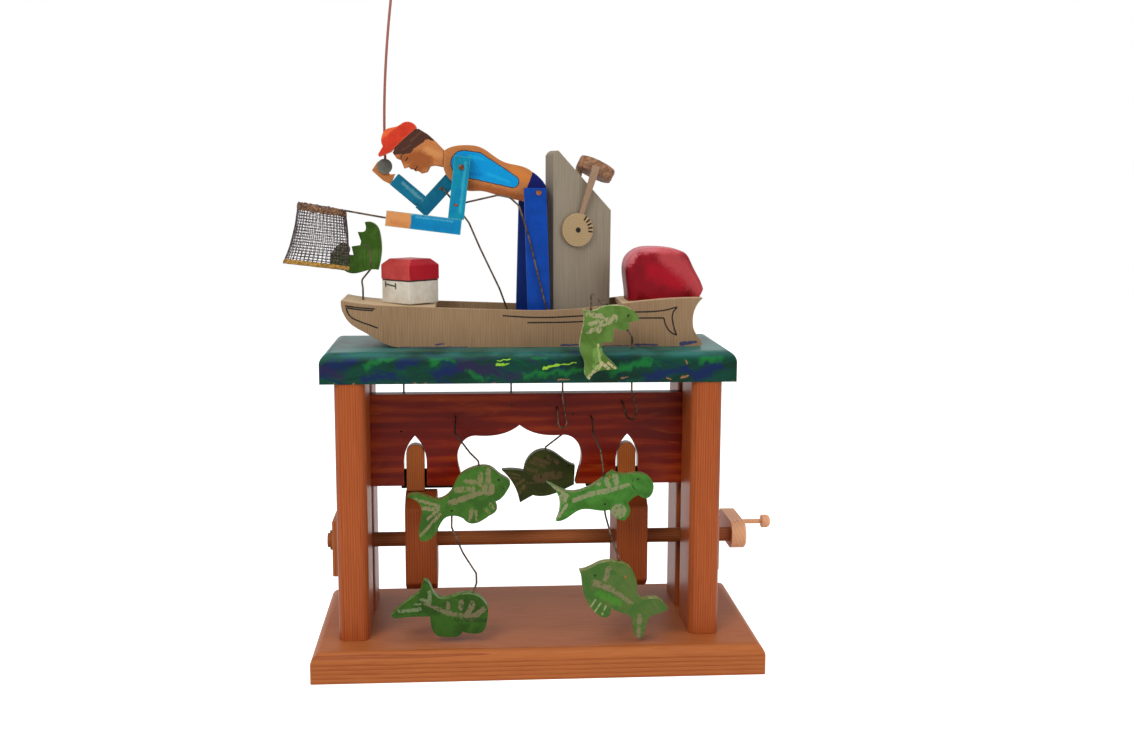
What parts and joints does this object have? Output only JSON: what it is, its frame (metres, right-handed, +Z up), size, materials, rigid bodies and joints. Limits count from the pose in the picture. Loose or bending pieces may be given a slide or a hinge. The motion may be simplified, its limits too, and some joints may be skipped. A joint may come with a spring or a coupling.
{
  "type": "wooden crank automaton",
  "caption": "Hand-cranked wooden automaton: cams under a sliding rail lift wires that rock an angler in a boat and sway hanging fish on a post stand.",
  "frame": {"origin": "centre of the base board's underside", "axes": "+Z up, +X towards the crank, -Y towards the front"},
  "size_m": [0.4314, 0.184, 0.5944],
  "materials": {
    "base_wood": "oiled reddish softwood",
    "post_wood": "satin reddish-brown wood, vertical grain",
    "wave_paint": "brush-painted blue, green and purple",
    "axle_wood": "brown dowel",
    "cam_wood": "sawn softwood with upright grain",
    "pale_wood": "sanded pale hardwood",
    "rail_wood": "dark red-brown varnish over wavy grain",
    "shoe_wood": "orange-brown polished wood",
    "dark_lath": "near-black stained lath",
    "boat_wood": "tan plywood with fine upright grain",
    "cream_paint": "cream matt paint",
    "red_paint": "worn red paint",
    "grey_wood": "weathered grey wood",
    "blue_paint": "worn blue paint",
    "figure_wood": "carved bare wood",
    "cap_paint": "red-orange matt paint",
    "bark_wood": "ribbed brown wood",
    "rod_wood": "pinkish-brown thin rod",
    "fish_paint": "green paint with greyish strokes",
    "steel_wire": "dull bent wire",
    "brass_wire": "dull brass brads and pins",
    "net_mesh": "oxidised woven wire mesh",
    "reel_grey": "grey disc"
  },
  "bodies": {
    "stand": {"base_board": "base_wood", "posts": "post_wood", "wave_board": "wave_paint", "bearing_blocks": "base_wood", "hull_sides": "boat_wood", "bow_plate": "boat_wood", "transom": "boat_wood", "hull_bottom": "boat_wood", "bow_deck": "boat_wood", "stern_deck": "boat_wood", "cooler_body": "cream_paint", "cooler_lid": "red_paint", "outboard_cowl": "red_paint", "console_board": "grey_wood", "near_leg": "blue_paint", "far_leg": "blue_paint", "hip_pin": "brass_wire"},
    "crank": {"axle": "axle_wood", "axle_pins": "brass_wire", "left_cam": "cam_wood", "right_cam": "cam_wood", "crank_arm": "pale_wood", "crank_peg": "pale_wood"},
    "lift": {"lift_rail": "rail_wood", "cam_shoes": "shoe_wood", "shoe_backings": "dark_lath", "near_arm_wire": "steel_wire", "far_arm_wire": "steel_wire", "net_fish_wire": "steel_wire", "net_fish": "fish_paint", "jump_fish_wire": "steel_wire", "jump_fish": "fish_paint"},
    "torso": {"torso": "figure_wood", "head": "figure_wood", "hat": "cap_paint", "shoulder_pin": "brass_wire"},
    "near_arm": {"near_upper_arm": "blue_paint", "near_forearm": "blue_paint", "net_handle": "steel_wire", "net_rim": "net_mesh", "net_bag": "net_mesh"},
    "far_arm": {"far_upper_arm": "blue_paint", "far_forearm": "blue_paint", "far_hand": "figure_wood", "reel": "reel_grey", "fishing_rod": "rod_wood"},
    "helm": {"helm_sticks": "pale_wood", "helm_discs": "grey_wood", "helm_wheel": "bark_wood", "helm_pin": "brass_wire"},
    "fish_1_swing": {"fish_1": "fish_paint", "fish_1_wire": "steel_wire"},
    "fish_2_swing": {"fish_2": "fish_paint", "fish_2_wire": "steel_wire"},
    "fish_3_swing": {"fish_3": "fish_paint", "fish_3_wire": "steel_wire"},
    "fish_4_swing": {"fish_4": "fish_paint", "fish_4_wire": "steel_wire"},
    "fish_5_swing": {"fish_5": "fish_paint", "fish_5_wire": "steel_wire"}
  },
  "joints": [
    {"name": "crank_spin", "type": "hinge", "parent": "stand", "child": "crank", "pos_m": [0, 0.006, 0.0946], "axis": [1, 0, 0], "continuous": true},
    {"name": "rail_lift", "type": "slide", "parent": "stand", "child": "lift", "axis": [0, 0, 1], "range_m": [0, 0.012]},
    {"name": "torso_bend", "type": "hinge", "parent": "stand", "child": "torso", "pos_m": [0.0024, 0.005, 0.3965], "axis": [0, 1, 0], "range_deg": [0, 9.6]},
    {"name": "near_shoulder", "type": "hinge", "parent": "torso", "child": "near_arm", "pos_m": [-0.0621, 0.005, 0.4172], "axis": [0, 1, 0], "range_deg": [-5, 0]},
    {"name": "far_shoulder", "type": "hinge", "parent": "torso", "child": "far_arm", "pos_m": [-0.0621, 0.005, 0.4172], "axis": [0, 1, 0], "range_deg": [-6, 0]},
    {"name": "helm_swing", "type": "hinge", "parent": "stand", "child": "helm", "pos_m": [0.03566, 0.00555, 0.3648], "axis": [0.309, -0.9511, 0], "range_deg": [-20, 0]},
    {"name": "fish_1_sway", "type": "hinge", "parent": "lift", "child": "fish_1_swing", "pos_m": [-0.0686, 0.006, 0.2043], "axis": [0, 1, 0], "range_deg": [-6, 6]},
    {"name": "fish_2_sway", "type": "hinge", "parent": "lift", "child": "fish_2_swing", "pos_m": [0.033, 0.006, 0.2056], "axis": [0, 1, 0], "range_deg": [-6, 6]},
    {"name": "fish_3_sway", "type": "hinge", "parent": "lift", "child": "fish_3_swing", "pos_m": [0.0489, 0.006, 0.2032], "axis": [0, 1, 0], "range_deg": [-6, 6]},
    {"name": "fish_4_sway", "type": "hinge", "parent": "fish_1_swing", "child": "fish_4_swing", "pos_m": [-0.0721, -0.05, 0.1343], "axis": [0, 1, 0], "range_deg": [-8, 8]},
    {"name": "fish_5_sway", "type": "hinge", "parent": "fish_3_swing", "child": "fish_5_swing", "pos_m": [0.0559, -0.05, 0.1382], "axis": [0, 1, 0], "range_deg": [-8, 8]}
  ],
  "couplings": [
    {"joint": "torso_bend", "follows": "rail_lift", "rad_per_m": 13.9},
    {"joint": "near_shoulder", "follows": "rail_lift", "rad_per_m": -4.7},
    {"joint": "far_shoulder", "follows": "rail_lift", "rad_per_m": -8}
  ]
}
